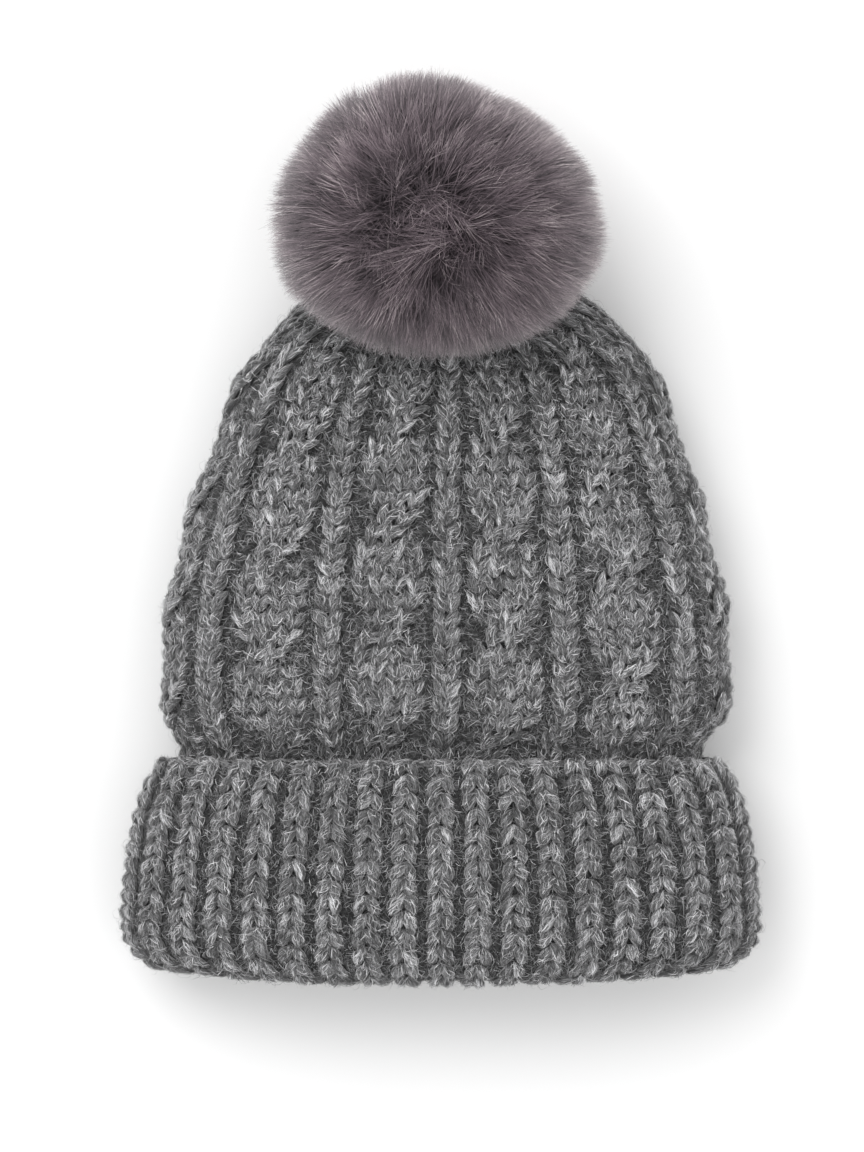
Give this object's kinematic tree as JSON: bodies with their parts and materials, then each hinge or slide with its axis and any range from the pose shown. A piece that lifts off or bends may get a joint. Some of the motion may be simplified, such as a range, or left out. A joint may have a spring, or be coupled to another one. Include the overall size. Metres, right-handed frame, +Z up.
{
  "type": "pom pom beanie",
  "caption": "Chunky knitted winter hat with cabled body, turned-up ribbed cuff and a detachable faux-fur pom on the crown, lying flat.",
  "frame": {"origin": "on the surface that the hat lies on, under the middle of the whole hat's box", "axes": "+Y from the cuff's opening towards the pom, +Z up off the surface towards the front of the hat, +X to the right as the front is looked at with the pom at the top"},
  "size_m": [0.2258, 0.319, 0.1043],
  "materials": {
    "knit_yarn": "brushed chunky wool-blend knit, heathered mid grey with pale flecks",
    "seam_yarn": "plied wool-blend yarn, mid grey",
    "label_satin": "blank woven satin ribbon, off-white",
    "felt": "pressed wool felt, charcoal",
    "snap_metal": "nickel-plated pressed metal",
    "thread": "twisted nylon thread, mauve-grey",
    "filling": "loose polyester fibre, white",
    "fur_backing": "tight knitted fur backing, mauve-grey",
    "fur_pile": "dense soft faux fur, dark mauve-grey with paler tips"
  },
  "bodies": {
    "hat": {"body": "knit_yarn", "back_seam": "seam_yarn", "crown_gather_yarn": "seam_yarn", "care_label": "label_satin", "crown_patch": "felt", "snap_post": "snap_metal", "snap_stud": "snap_metal"},
    "cuff": {"cuff": "knit_yarn"},
    "snap_ring": {"snap_spring": "snap_metal"},
    "pom": {"snap_socket": "snap_metal", "snap_cap": "snap_metal", "pom_base_disc": "felt", "pom_drawstring": "thread", "pom_stuffing": "filling", "pom_backing": "fur_backing", "pom_pile": "fur_pile"}
  },
  "joints": [
    {"name": "cuff_turn_down", "type": "slide", "parent": "hat", "child": "cuff", "axis": [0, -1, 0], "range_m": [0, 0.066]},
    {"name": "pom_pull_off", "type": "slide", "parent": "hat", "child": "snap_ring", "axis": [0, 0.6342, 0.7732], "range_m": [0, 0.06]},
    {"name": "pom_swivel", "type": "hinge", "parent": "snap_ring", "child": "pom", "pos_m": [0, 0.0868, 0.027], "axis": [0, 0.6342, 0.7732], "continuous": true}
  ]
}
